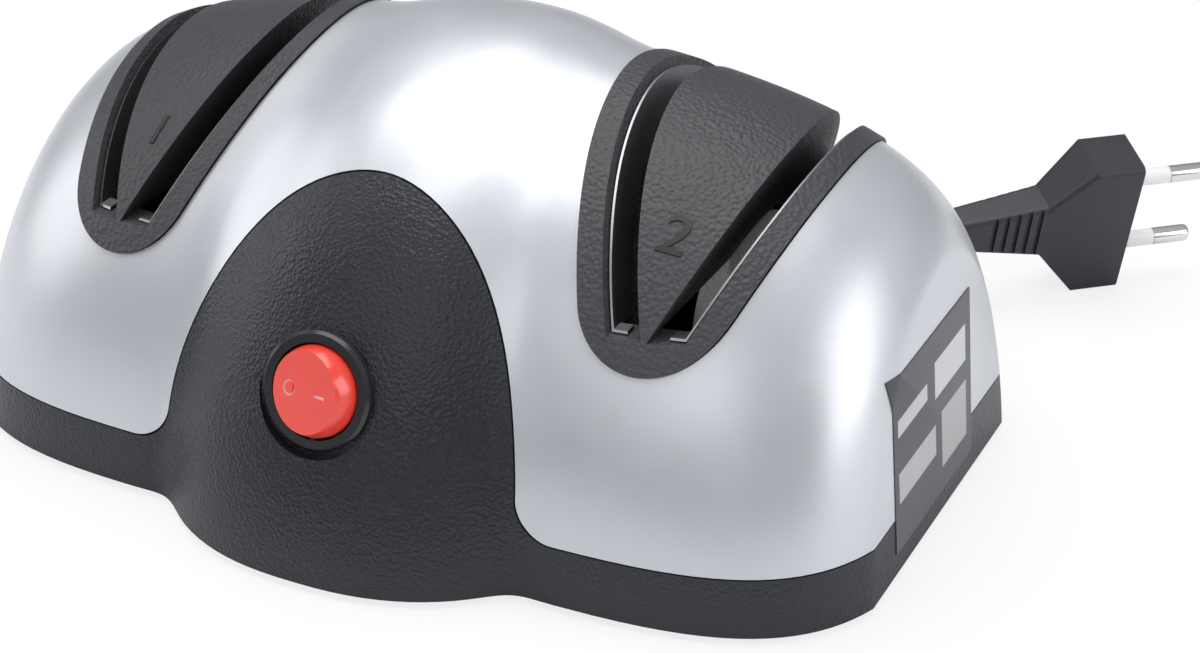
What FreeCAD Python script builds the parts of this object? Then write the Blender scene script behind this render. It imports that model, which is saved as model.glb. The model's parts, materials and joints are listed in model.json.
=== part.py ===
# Electric knife sharpener with two sharpening stations on one motor shaft.
# Millimetres. X runs along the body, station 1 at -X and station 2 at +X.
# The switch is on the front, at -Y. Z is up, and z = 0 is the table.
import FreeCAD, Part
import math
import os
from FreeCAD import Vector

# Outside of the housing: two lobes in one long arch, and a dome between them
half_length = 101.2
lobe_front_depth = 67.0
lobe_rear_depth = 51.5
lobe_height = 84.2
lobe_plan_power = 3.6
lobe_crest_power = 6.6
lobe_depth_power = 1.95
lobe_height_power = 1.91
lobe_end_spread = 0.13
lobe_crest_drop = 0.225
end_face_cut = 4.0
end_draft = 0.0008
end_draft_power = 6
dome_half_length = 56.5
dome_front_depth = 82.6
dome_rear_depth = 66.0
dome_height = 87.2
dome_plan_power = 2.43
dome_crest_power = 2.25
dome_depth_power = 2.0
dome_height_power = 1.53
crease_blend = 4.0
wall = 2.5
stations_per_half = 24
points_per_arch = 18
radius_steps = 40

# The long axis of the arch, placed so that the origin is under the middle
axis_y = (dome_front_depth - dome_rear_depth) / 2.0

# Seam between the silver shell and the black base
parting_height = 13.3
seam_gap = 0.3
tongue_height = 3.0
tongue_thickness = 1.4
tongue_clearance = 0.3

# Front shield of the base
shield_half_width = 38.6
shield_top = 70.3
shield_corner_radius = 8.0

# Base plate, feet and case screws
floor_lift = 1.5
floor_thickness = 2.5
foot_radius = 7.0
foot_socket_depth = 0.5
foot_x = 78.0
foot_y = 34.0
boss_radius = 4.5
boss_top = 12.0
boss_x = 86.0
boss_y = 22.0
screw_hole_radius = 1.7
screw_radius = 1.4
screw_head_radius = 3.0
screw_head_height = 2.0
screw_head_clearance = 0.4
screw_seat_height = 6.0
screw_grip = 9.0
screw_pilot_clearance = 0.05

# Rocker switch, a round one for a 20 mm panel hole
switch_height = 36.9
switch_tilt = 18.0
switch_pad_radius = 15.5
switch_pad_thickness = 2.5
switch_recess_radius = 12.8
switch_recess_depth = 1.0
switch_hole_radius = 10.0
switch_barrel_radius = 9.95
switch_barrel_depth = 17.0
bezel_radius = 11.5
bezel_height = 1.8
bezel_opening_radius = 9.25
switch_well_depth = 6.5
rocker_ball_radius = 8.95
rocker_face_height = 4.2
rocker_skirt_depth = 4.0
rocker_pivot_depth = 1.8
rocker_rest_tilt = 13.0
rocker_pin_radius = 0.7
rocker_pin_clearance = 0.05
rocker_pin_seat = 0.35
rocker_mark_depth = 0.3
rocker_mark_width = 0.5
rocker_mark_offset = 3.9
rocker_ring_radius = 1.5
rocker_bar_length = 2.6
terminal_width = 4.8
terminal_thickness = 0.8
terminal_length = 8.0
terminal_spacing = 9.0

# Stations: the black inserts, their slots and the wedge between the slots
station_x = 57.5
insert_tip_height = 45.5
insert_tip_radius = 15.6
insert_flare = 22.8
insert_proud = 0.7
insert_thickness = 3.0
insert_gap = 0.3
insert_flange = 3.0
insert_flange_thickness = 1.6
slot_foot_height = 51.0
slot_foot_offset = 3.8
slot_lean = 24.0
slot_width = 6.65
slot_wall = 1.5
slot_wall_foot = 47.5
wedge_wall = 2.0
profile_top = 120.0

# Blade guides: bright spring steel strips along the outer side of each slot
guide_thickness = 0.4
guide_standoff = 0.4
guide_sink = 0.8
guide_depth = 6.0
guide_foot_gap = 0.3
guide_toe_length = 2.6
guide_toe_depth = 2.2

# Rotor: shaft, armature and the two grinding wheels
shaft_radius = 2.5
shaft_height = 33.0
shaft_overhang = 2.0
wheel_radius = 21.0
wheel_thickness = 8.0
wheel_bore_clearance = 0.02
wheel_clearance = 1.6
hub_radius = 8.0
hub_length = 5.0
nut_radius = 4.6
nut_thickness = 3.2
armature_radius = 12.0
armature_length = 24.0
armature_slots = 7
armature_slot_width = 2.6
armature_slot_depth = 5.0
winding_radius = 9.5
winding_length = 4.5
commutator_radius = 5.0
commutator_length = 6.0
brush_length = 8.0
brush_width = 3.4
brush_gap = 0.05

# Motor housing
motor_radius = 18.0
motor_length = 58.0
motor_wall = 1.6
motor_cap_thickness = 3.0
bush_radius = 5.0
bush_length = 6.0
bush_gap = 0.03
magnet_thickness = 3.8
magnet_length = 30.0
magnet_half_angle = 60.0
mount_ring_radius = 20.5
mount_ring_length = 8.0
mount_ring_inset = 5.0
cradle_thickness = 8.0
cradle_half_width = 31.0
strap_thickness = 2.0
strap_screw_offset = 26.5
strap_screw_radius = 1.4
strap_screw_length = 12.0

# Rectifier board beside the motor
board_x = 0.0
board_y = -34.0
board_size_x = 36.0
board_size_y = 18.0
board_thickness = 1.6
board_post_height = 4.0
board_post_radius = 2.5
diode_radius = 1.4
diode_length = 5.0
diode_spacing = 5.5
capacitor_radius = 4.5
capacitor_height = 9.0

# Rating label on the right end, left plain
label_front = -22.0
label_rear = 21.0
label_foot = 6.0
label_height = 36.0
label_thickness = 0.25

# Inner leads
lead_radius = 0.9
lead_spacing = 3.0
lead_end_gap = 0.3

# Cord: round two-core lead with a flat two-pin plug
cord_radius = 2.6
gland_x = -52.0
gland_height = 8.0
gland_length = 20.0
gland_root_radius = 4.2
gland_tip_radius = 3.2
gland_bore_clearance = 0.2
gland_neck_clearance = 0.05
gland_flange_radius = 5.4
gland_flange_thickness = 1.6
gland_flange_gap = 0.3
clamp_gap = 8.0
clamp_width = 20.0
clamp_depth = 8.0
clamp_thickness = 3.0
clamp_post_radius = 3.0
clamp_post_offset = 7.0
clamp_screw_radius = 1.2
clamp_screw_length = 6.6

# Spare cord, wound in a neat coil behind the housing
coil_mid_radius = 27.0
coil_pitch = 6.1
coil_layer_step = 6.0
coil_turns_per_layer = 2
coil_floor_gap = 0.1
coil_start_shift = 0.5
coil_standoff = 45.25
cord_end_run = 12.5
cord_leave_run = 6.5
cord_plug_run = 17.5

# Plug, standing on its narrow edge
plug_x = 103.2
plug_y = 115.5
plug_heading = 40.5
plug_lean = 15.0
plug_width = 35.3
plug_thickness = 13.7
plug_face_length = 11.0
plug_shoulder_length = 9.0
plug_boot_length = 20.0
plug_neck_width = 14.0
plug_neck_thickness = 10.0
plug_tail_radius = 3.9
plug_corner = 1.5
plug_groove_count = 5
plug_groove_pitch = 2.6
plug_groove_width = 1.2
plug_groove_depth = 0.8
plug_bore_depth = 12.0
pin_spacing = 18.6
pin_length = 19.0
pin_radius = 2.0
pin_core_radius = 1.55
pin_root = 6.0
sleeve_length = 10.0
sleeve_radius = 1.9


def power_share(share, power):
    """Ordinate of the unit superellipse at an abscissa."""
    return max(0.0, 1.0 - abs(share) ** power) ** (1.0 / power)


def arch_radius(depth, height, angle, depth_power, height_power):
    """Distance from the long axis to a superelliptic arch."""
    across = abs(math.cos(angle)) / depth
    upward = abs(math.sin(angle)) / height
    low = 0.0
    high = depth + height
    for _ in range(radius_steps):
        middle = (low + high) / 2.0
        if (middle * across) ** depth_power + (middle * upward) ** height_power < 1.0:
            low = middle
        else:
            high = middle
    return (low + high) / 2.0


def soft_max(first, second, blend):
    """The larger of two lengths, with a rounded changeover."""
    near = max(blend - abs(first - second), 0.0)
    return max(first, second) + near * near / (4.0 * blend)


def body_radius(x, angle, inset):
    """Radius of the housing about its long axis, at a place along it."""
    facing_front = math.cos(angle) > 0.0
    share = x / (half_length + end_face_cut - inset)
    plan = (1.0 + lobe_end_spread * share ** 2) * power_share(share, lobe_plan_power)
    crest = (1.0 - lobe_crest_drop * share ** 2) * power_share(share, lobe_crest_power)
    depth = (lobe_front_depth if facing_front else lobe_rear_depth) - inset
    height = lobe_height - inset
    lobe = arch_radius(depth * plan, height * crest, angle, lobe_depth_power, lobe_height_power)
    share = x / (dome_half_length - inset)
    if abs(share) >= 1.0:
        return lobe
    plan = power_share(share, dome_plan_power)
    crest = power_share(share, dome_crest_power)
    depth = (dome_front_depth if facing_front else dome_rear_depth) - inset
    height = dome_height - inset
    dome = arch_radius(depth * plan, height * crest, angle, dome_depth_power, dome_height_power)
    return soft_max(lobe, dome, crease_blend)


def body_point(x, angle, inset=0.0):
    """A point of the housing, at an angle that runs from the front over the top."""
    radius = body_radius(x, angle, inset)
    height = radius * math.sin(angle)
    share = x / (half_length - inset)
    lean = 1.0 - end_draft * height * share ** end_draft_power
    return Vector(x * lean, axis_y - radius * math.cos(angle), height)


def body_face_y(x, z, rear=False, inset=0.0):
    """Y of the housing's front or rear face at a place on it."""
    low = 0.0
    high = math.pi / 2.0
    for _ in range(radius_steps):
        middle = (low + high) / 2.0
        angle = math.pi - middle if rear else middle
        if body_point(x, angle, inset).z < z:
            low = middle
        else:
            high = middle
    return body_point(x, math.pi - low if rear else low, inset).y


def body_form(inset=0.0):
    """Solid of the housing's outside, moved inwards by an inset."""
    end_x = half_length - inset
    angles = [math.pi * j / points_per_arch for j in range(points_per_arch + 1)]
    rows = []
    for i in range(-stations_per_half, stations_per_half + 1):
        x = end_x * math.sin(math.pi / 2.0 * i / stations_per_half)
        rows.append([body_point(x, angle, inset) for angle in angles])
    surface = Part.BSplineSurface()
    surface.interpolate(rows)
    skin = surface.toShape()
    sides = {}
    for edge in skin.Edges:
        middle = edge.CenterOfMass
        if abs(middle.x) > end_x * 0.9:
            sides["left" if middle.x < 0 else "right"] = edge
        else:
            sides["front" if middle.y < axis_y else "rear"] = edge
    left_line = Part.makeLine(rows[0][0], rows[0][-1])
    right_line = Part.makeLine(rows[-1][0], rows[-1][-1])
    outlines = [
        [sides["front"], right_line, sides["rear"], left_line],
        [sides["left"], left_line],
        [sides["right"], right_line],
    ]
    faces = [Part.Face(Part.Wire(Part.__sortEdges__(outline))) for outline in outlines]
    shell = Part.makeShell([skin] + faces)
    shell.sewShape()
    solid = Part.makeSolid(Part.Shell(shell.Faces))
    if solid.Volume < 0:
        solid.reverse()
    return solid


def block(x0, x1, y0, y1, z0, z1):
    """Box between two limits on each axis."""
    return Part.makeBox(x1 - x0, y1 - y0, z1 - z0, Vector(x0, y0, z0))


def rod(radius, length, base, direction):
    return Part.makeCylinder(radius, length, base, direction)


def across_depth(edges, y0, y1):
    """Solid that has an outline in the XZ plane and runs from y0 to y1."""
    face = Part.Face(Part.Wire(edges))
    face.translate(Vector(0, y0, 0))
    return face.extrude(Vector(0, y1 - y0, 0))


def polygon_across_depth(points, y0, y1):
    """Solid of a straight-sided outline, given as (x, z) pairs."""
    corners = [Vector(x, 0, z) for x, z in points]
    corners.append(corners[0])
    return across_depth(Part.makePolygon(corners).Edges, y0, y1)


reach = 2.0 * half_length


def shield_form(grow):
    """Region of the black front shield, from the floor to its arched top."""
    half_width = shield_half_width + grow
    seam = parting_height + grow
    top = shield_top + grow
    bend = shield_corner_radius
    rise = top - seam
    side_x = half_width * math.sqrt(1.0 - (bend / rise) ** 2)
    ellipse = Part.Ellipse(Vector(0, 0, seam + rise), Vector(half_width, 0, seam), Vector(0, 0, seam))
    spread = min(ellipse.parameter(Vector(side * side_x, 0, seam + bend)) for side in (1, -1))
    crown = Part.Arc(ellipse, -spread, spread).toShape()
    outside = side_x + bend
    dip = bend * (1.0 - math.sqrt(0.5))
    edges = [crown]
    for side in (1, -1):
        on_seam = Vector(side * outside, 0, seam)
        on_crown = Vector(side * side_x, 0, seam + bend)
        middle = Vector(side * (side_x + dip), 0, seam + dip)
        edges.append(Part.Arc(on_crown, middle, on_seam).toShape())
        edges.append(Part.makeLine(on_seam, Vector(side * outside, 0, 0)))
    edges.append(Part.makeLine(Vector(outside, 0, 0), Vector(-outside, 0, 0)))
    return across_depth(Part.__sortEdges__(edges), -reach, axis_y)


def lower_region(grow):
    """Everything that belongs to the black base: the band and the shield."""
    band = block(-reach, reach, -reach, reach, 0, parting_height + grow)
    return band.fuse(shield_form(grow))


def insert_region(side, grow):
    """Region of a station's insert: a flared U that runs over the housing."""
    centre_x = side * station_x
    radius = insert_tip_radius + grow
    centre_z = insert_tip_height + insert_tip_radius
    flare = math.radians(insert_flare)
    start_x = radius * math.cos(flare)
    start_z = centre_z - radius * math.sin(flare)
    end_x = start_x + (profile_top - start_z) * math.tan(flare)
    left = Vector(centre_x - start_x, 0, start_z)
    right = Vector(centre_x + start_x, 0, start_z)
    tip = Vector(centre_x, 0, centre_z - radius)
    left_top = Vector(centre_x - end_x, 0, profile_top)
    right_top = Vector(centre_x + end_x, 0, profile_top)
    edges = [
        Part.Arc(left, tip, right).toShape(),
        Part.makeLine(right, right_top),
        Part.makeLine(right_top, left_top),
        Part.makeLine(left_top, left),
    ]
    return across_depth(edges, -reach, reach)


def slot_x(side, hand, z, offset):
    """X of a plane in a slot, at a distance from the slot's middle plane."""
    lean = (z - slot_foot_height) * math.tan(math.radians(slot_lean))
    return side * station_x + hand * (slot_foot_offset + lean + offset)


def slot_slab(side, hand, inner, outer, z0, z1):
    """Leaning slab between two planes that are parallel to a slot."""
    outline = [
        (slot_x(side, hand, z0, inner), z0),
        (slot_x(side, hand, z0, outer), z0),
        (slot_x(side, hand, z1, outer), z1),
        (slot_x(side, hand, z1, inner), z1),
    ]
    return polygon_across_depth(outline, -reach, reach)


def above(z):
    """Everything over a height."""
    return block(-reach, reach, -reach, reach, z, profile_top)


def make_housing(outer, inner):
    """The base with its shield and tongue, and the silver upper shell."""
    tongue_inset = wall + tongue_clearance
    skin = outer.common(lower_region(-seam_gap / 2.0))
    tongue = body_form(tongue_inset).common(lower_region(tongue_height))
    hollow = body_form(tongue_inset + tongue_thickness).common(above(floor_lift + floor_thickness))
    base = skin.fuse(tongue).cut(hollow).common(above(floor_lift))
    shell = outer.cut(inner).cut(lower_region(seam_gap / 2.0))
    return base, shell


def make_inserts():
    """Insert of each station: rim, slot walls and wedge in one moulding."""
    rim_form = body_form(-insert_proud)
    rim_inner = body_form(insert_thickness)
    flange_form = body_form(wall + insert_gap)
    flange_inner = body_form(wall + insert_gap + insert_flange_thickness)
    inserts = []
    for side in (-1, 1):
        skin = rim_form.common(insert_region(side, -insert_gap))
        flange = flange_form.common(insert_region(side, insert_flange))
        moulding = skin.cut(rim_inner).fuse(flange.cut(flange_inner))
        room = insert_region(side, -insert_gap).common(flange_form)
        pieces = [moulding]
        half = slot_width / 2.0
        for hand in (-1, 1):
            slab = slot_slab(side, hand, half, half + slot_wall, slot_wall_foot, profile_top)
            pieces.append(room.common(slab))
            slab = slot_slab(side, hand, -half - wedge_wall, -half, slot_foot_height, profile_top)
            pieces.append(room.common(slab).common(wedge_region(side)))
        whole = pieces[0]
        for piece in pieces[1:]:
            whole = whole.fuse(piece)
        for hand in (-1, 1):
            whole = whole.cut(slot_slab(side, hand, -half, half, slot_foot_height, profile_top))
        whole = whole.cut(wheel_room(side))
        inserts.append(keep_largest(whole))
    return inserts


def wedge_region(side):
    """Region between the two slots of a station."""
    half = slot_width / 2.0
    outline = [
        (slot_x(side, -1, slot_foot_height, -half), slot_foot_height),
        (slot_x(side, 1, slot_foot_height, -half), slot_foot_height),
        (slot_x(side, 1, profile_top, -half), profile_top),
        (slot_x(side, -1, profile_top, -half), profile_top),
    ]
    return polygon_across_depth(outline, -reach, reach)


def wheel_room(side):
    """Free space that the insert leaves round its wheel."""
    length = wheel_thickness + 2.0 * wheel_clearance
    base = Vector(side * station_x - length / 2.0, axis_y, shaft_height)
    return rod(wheel_radius + wheel_clearance, length, base, Vector(1, 0, 0))


def keep_largest(shape):
    """The largest solid of a shape."""
    return max(shape.Solids, key=lambda solid: solid.Volume)


def make_blade_guides():
    """The spring strips of each slot, with a toe at both feet."""
    outer = body_form(guide_sink)
    inner = body_form(guide_sink + guide_depth)
    toe_inner = body_form(guide_sink + guide_toe_depth)
    foot = slot_foot_height + guide_foot_gap
    guides = {}
    for side in (-1, 1):
        for hand in (-1, 1):
            near = slot_width / 2.0 - guide_standoff - guide_thickness
            strip = slot_slab(side, hand, near, near + guide_thickness, foot, profile_top)
            strip = outer.common(strip).cut(inner)
            toe = slot_slab(side, hand, near - guide_toe_length, near, foot, foot + guide_thickness)
            toe = outer.common(toe).cut(toe_inner)
            name = "blade_guide_%d_%s" % (1 if side < 0 else 2, "left" if hand < 0 else "right")
            guides[name] = keep_largest(strip.fuse(toe))
    return guides


def panel_frame(shape):
    """Moves a piece from the switch's own frame to its place on the shield."""
    centre = Vector(0, body_face_y(0.0, switch_height), switch_height)
    shape.rotate(Vector(0, 0, 0), Vector(1, 0, 0), 90.0 - switch_tilt)
    shape.translate(centre)
    return shape


def fit_switch_seat(base):
    """Adds the round recess and the panel hole for the switch to the shield."""
    out = Vector(0, 0, 1)
    back = -switch_recess_depth - switch_pad_thickness
    pad = panel_frame(rod(switch_pad_radius, profile_top, Vector(0, 0, back), out))
    inner_wall = body_form(wall + tongue_clearance + tongue_thickness / 2.0)
    pad = pad.common(inner_wall).common(block(-reach, reach, -reach, 0, 0, profile_top))
    recess = panel_frame(rod(switch_recess_radius, profile_top, Vector(0, 0, -switch_recess_depth), out))
    recess = recess.common(block(-reach, reach, -reach, 0, 0, profile_top))
    depth = switch_barrel_depth + switch_recess_depth
    hole = panel_frame(rod(switch_hole_radius, 2.0 * depth, Vector(0, 0, -depth), out))
    return base.fuse(pad).cut(recess).cut(hole)


def make_switch():
    """Switch body with its bezel, its rocker and its terminals."""
    out = Vector(0, 0, 1)
    seat = -switch_recess_depth
    face = seat + bezel_height
    pivot = face - rocker_pivot_depth
    barrel = rod(switch_barrel_radius, switch_barrel_depth, Vector(0, 0, seat - switch_barrel_depth), out)
    bezel = rod(bezel_radius, bezel_height, Vector(0, 0, seat), out)
    bezel = bezel.makeChamfer(bezel_height / 3.0, [bezel.Edges[0]])
    well_foot = Vector(0, 0, seat - switch_well_depth)
    well = rod(bezel_opening_radius, switch_well_depth + bezel_height, well_foot, out)
    holder = barrel.fuse(bezel).cut(well)
    pin_half = bezel_opening_radius + rocker_pin_seat
    pin_line = Vector(0, 1, 0)
    hole_radius = rocker_pin_radius + rocker_pin_clearance
    hole_half = pin_half + rocker_pin_clearance
    holder = holder.cut(rod(hole_radius, 2.0 * hole_half, Vector(0, -hole_half, pivot), pin_line))
    ball = Part.makeSphere(rocker_ball_radius)
    slab = block(-reach, reach, -reach, reach, -rocker_skirt_depth, rocker_face_height)
    rocker = ball.common(slab)
    for hand, mark in ((-1, rocker_ring()), (1, rocker_bar())):
        mark.translate(Vector(hand * rocker_mark_offset, 0, rocker_face_height - rocker_mark_depth))
        rocker = rocker.cut(mark)
    rocker = rocker.fuse(rod(rocker_pin_radius, 2.0 * pin_half, Vector(0, -pin_half, 0), pin_line))
    rocker.rotate(Vector(0, 0, 0), pin_line, -rocker_rest_tilt)
    rocker.translate(Vector(0, 0, pivot))
    terminals = []
    for hand in (-1, 1):
        x = hand * terminal_spacing / 2.0 - terminal_thickness / 2.0
        top = seat - switch_barrel_depth
        half = terminal_width / 2.0
        terminals.append(block(x, x + terminal_thickness, -half, half, top - terminal_length, top))
    terminals = [panel_frame(terminal) for terminal in terminals]
    return panel_frame(holder), panel_frame(rocker), Part.makeCompound(terminals)


def rocker_ring():
    """Sunk ring that marks the off side."""
    height = 2.0 * rocker_mark_depth
    ring = Part.makeCylinder(rocker_ring_radius, height)
    return ring.cut(Part.makeCylinder(rocker_ring_radius - rocker_mark_width, height))


def rocker_bar():
    """Sunk bar that marks the on side."""
    half = rocker_bar_length / 2.0
    width = rocker_mark_width / 2.0
    return block(-half, half, -width, width, 0, 2.0 * rocker_mark_depth)


def x_rod(radius, x0, x1):
    """Cylinder round the motor's shaft line."""
    return rod(radius, x1 - x0, Vector(x0, axis_y, shaft_height), Vector(1, 0, 0))


def x_tube(inner_radius, outer_radius, x0, x1):
    return x_rod(outer_radius, x0, x1).cut(x_rod(inner_radius, x0, x1))


def make_rotor():
    """Shaft, armature, windings, commutator, wheels, hubs and nuts."""
    half_wheel = wheel_thickness / 2.0
    half_shaft = station_x + half_wheel + nut_thickness + shaft_overhang
    bore = shaft_radius + wheel_bore_clearance
    pieces = {"shaft": x_rod(shaft_radius, -half_shaft, half_shaft)}
    middle = armature_length / 2.0
    core = x_tube(shaft_radius, armature_radius, -middle, middle)
    for i in range(armature_slots):
        tooth_gap = block(
            -reach, reach,
            -armature_slot_width / 2.0, armature_slot_width / 2.0,
            armature_radius - armature_slot_depth, armature_radius + 1.0,
        )
        tooth_gap.rotate(Vector(0, 0, 0), Vector(1, 0, 0), 360.0 * i / armature_slots)
        tooth_gap.translate(Vector(0, axis_y, shaft_height))
        core = core.cut(tooth_gap)
    pieces["armature_core"] = core
    left_coil = x_tube(shaft_radius, winding_radius, -middle - winding_length, -middle)
    right_coil = x_tube(shaft_radius, winding_radius, middle, middle + winding_length)
    pieces["armature_windings"] = Part.makeCompound([left_coil, right_coil])
    start = middle + winding_length
    pieces["commutator"] = x_tube(shaft_radius, commutator_radius, start, start + commutator_length)
    hubs = []
    nuts = []
    for side, name in ((-1, "coarse_wheel"), (1, "fine_wheel")):
        x = side * station_x
        pieces[name] = x_tube(bore, wheel_radius, x - half_wheel, x + half_wheel)
        inner_face = x - side * half_wheel
        hub_end = inner_face - side * hub_length
        hubs.append(x_tube(shaft_radius, hub_radius, min(inner_face, hub_end), max(inner_face, hub_end)))
        outer_face = x + side * half_wheel
        nuts.append(make_nut(outer_face, side))
    pieces["wheel_hubs"] = Part.makeCompound(hubs)
    pieces["wheel_nuts"] = Part.makeCompound(nuts)
    return pieces


def make_nut(face_x, side):
    """Hexagon nut on the shaft, against a wheel."""
    corners = [2.0 * math.pi * i / 6.0 for i in range(7)]
    points = [Vector(0, nut_radius * math.cos(a), nut_radius * math.sin(a)) for a in corners]
    nut = Part.Face(Part.makePolygon(points)).extrude(Vector(side * nut_thickness, 0, 0))
    nut.translate(Vector(face_x, axis_y, shaft_height))
    return nut.cut(x_rod(shaft_radius, -reach, reach))


def make_motor():
    """Motor can, end cap, bushes, magnets, brushes and rubber rings."""
    half = motor_length / 2.0
    inside = motor_radius - motor_wall
    bush_hole = bush_radius
    can = x_tube(inside, motor_radius, -half, half - motor_cap_thickness)
    can = can.fuse(x_tube(bush_hole, motor_radius, -half, -half + motor_cap_thickness))
    cap = x_tube(bush_hole, motor_radius, half - motor_cap_thickness, half)
    running = shaft_radius + bush_gap
    bushes = [
        x_tube(running, bush_radius, -half, -half + bush_length),
        x_tube(running, bush_radius, half - bush_length, half),
    ]
    magnets = []
    ring = x_tube(inside - magnet_thickness, inside, -magnet_length / 2.0, magnet_length / 2.0)
    opening = 90.0 - magnet_half_angle
    for start in (opening - 90.0, opening + 90.0):
        arc = Part.makeCylinder(
            motor_radius, magnet_length, Vector(0, 0, 0), Vector(1, 0, 0), 2.0 * magnet_half_angle
        )
        arc.rotate(Vector(0, 0, 0), Vector(1, 0, 0), start)
        arc.translate(Vector(-magnet_length / 2.0, axis_y, shaft_height))
        magnets.append(ring.common(arc))
    brush_x = armature_length / 2.0 + winding_length + commutator_length / 2.0
    brushes = []
    for hand in (-1, 1):
        near = commutator_radius + brush_gap
        y0 = min(hand * near, hand * (near + brush_length))
        brushes.append(block(
            brush_x - brush_width / 2.0, brush_x + brush_width / 2.0,
            axis_y + y0, axis_y + y0 + brush_length,
            shaft_height - brush_width / 2.0, shaft_height + brush_width / 2.0,
        ))
    holders = []
    for hand in (-1, 1):
        near = commutator_radius + brush_gap + brush_length
        y0 = min(hand * near, hand * inside)
        holders.append(block(
            brush_x - brush_width, brush_x + brush_width,
            axis_y + y0, axis_y + y0 + inside - near,
            shaft_height - brush_width, shaft_height + brush_width,
        ).common(x_rod(inside, -reach, reach)))
    rings = []
    for side in (-1, 1):
        x = side * (half - mount_ring_inset - mount_ring_length / 2.0)
        half = mount_ring_length / 2.0
        rings.append(x_tube(motor_radius, mount_ring_radius, x - half, x + half))
    return {
        "motor_can": can,
        "motor_end_cap": cap,
        "shaft_bushes": Part.makeCompound(bushes),
        "motor_magnets": Part.makeCompound(magnets),
        "carbon_brushes": Part.makeCompound(brushes),
        "brush_holders": Part.makeCompound(holders),
        "motor_mount_rings": Part.makeCompound(rings),
    }


def cradle_places():
    """Middle of each motor cradle along X."""
    x = motor_length / 2.0 - mount_ring_inset - mount_ring_length / 2.0
    return (-x, x)


def make_cradles():
    """Two saddles on the base plate that carry the motor's rubber rings."""
    floor = floor_lift + floor_thickness / 2.0
    half = cradle_thickness / 2.0
    cradles = []
    for x in cradle_places():
        y0 = axis_y - cradle_half_width
        y1 = axis_y + cradle_half_width
        saddle = block(x - half, x + half, y0, y1, floor, shaft_height)
        saddle = saddle.cut(x_rod(mount_ring_radius, -reach, reach))
        for hand in (-1, 1):
            base = Vector(x, axis_y + hand * strap_screw_offset, shaft_height - strap_screw_length)
            hole = strap_screw_radius + screw_pilot_clearance
            saddle = saddle.cut(rod(hole, strap_screw_length, base, Vector(0, 0, 1)))
        cradles.append(saddle)
    return cradles


def make_straps():
    """Steel straps over the rubber rings, and their screws."""
    half = cradle_thickness / 2.0
    straps = []
    screws = []
    for x in cradle_places():
        arch = x_tube(mount_ring_radius, mount_ring_radius + strap_thickness, x - half, x + half)
        arch = arch.common(above(shaft_height))
        strap = arch
        for hand in (-1, 1):
            near = mount_ring_radius
            y0 = min(hand * near, hand * cradle_half_width)
            foot = block(
                x - half, x + half,
                axis_y + y0, axis_y + y0 + cradle_half_width - near,
                shaft_height, shaft_height + strap_thickness,
            )
            strap = strap.fuse(foot)
        strap = strap.cut(x_rod(mount_ring_radius, -reach, reach))
        for hand in (-1, 1):
            y = axis_y + hand * strap_screw_offset
            hole = rod(
                strap_screw_radius + screw_pilot_clearance,
                strap_thickness,
                Vector(x, y, shaft_height),
                Vector(0, 0, 1),
            )
            strap = strap.cut(hole)
            shank_base = Vector(x, y, shaft_height - strap_screw_length + 1.0)
            shank = rod(
                strap_screw_radius,
                strap_screw_length - 1.0 + strap_thickness,
                shank_base,
                Vector(0, 0, 1),
            )
            head = rod(
                screw_head_radius,
                screw_head_height,
                Vector(x, y, shaft_height + strap_thickness),
                Vector(0, 0, 1),
            )
            screws.append(shank.fuse(head))
        straps.append(strap)
    return Part.makeCompound(straps), Part.makeCompound(screws)


def case_screw_places():
    return [(sx * boss_x, axis_y + sy * boss_y) for sx in (-1, 1) for sy in (-1, 1)]


def foot_places():
    return [(sx * foot_x, axis_y + sy * foot_y) for sx in (-1, 1) for sy in (-1, 1)]


def make_case_screws():
    screws = []
    up = Vector(0, 0, 1)
    for x, y in case_screw_places():
        head = rod(
            screw_head_radius,
            screw_head_height,
            Vector(x, y, screw_seat_height - screw_head_height),
            up,
        )
        shank = rod(
            screw_radius,
            boss_top - screw_seat_height + screw_grip,
            Vector(x, y, screw_seat_height),
            up,
        )
        screws.append(head.fuse(shank))
    return Part.makeCompound(screws)


def make_feet():
    up = Vector(0, 0, 1)
    height = floor_lift + foot_socket_depth
    return Part.makeCompound([rod(foot_radius, height, Vector(x, y, 0), up) for x, y in foot_places()])


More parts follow.
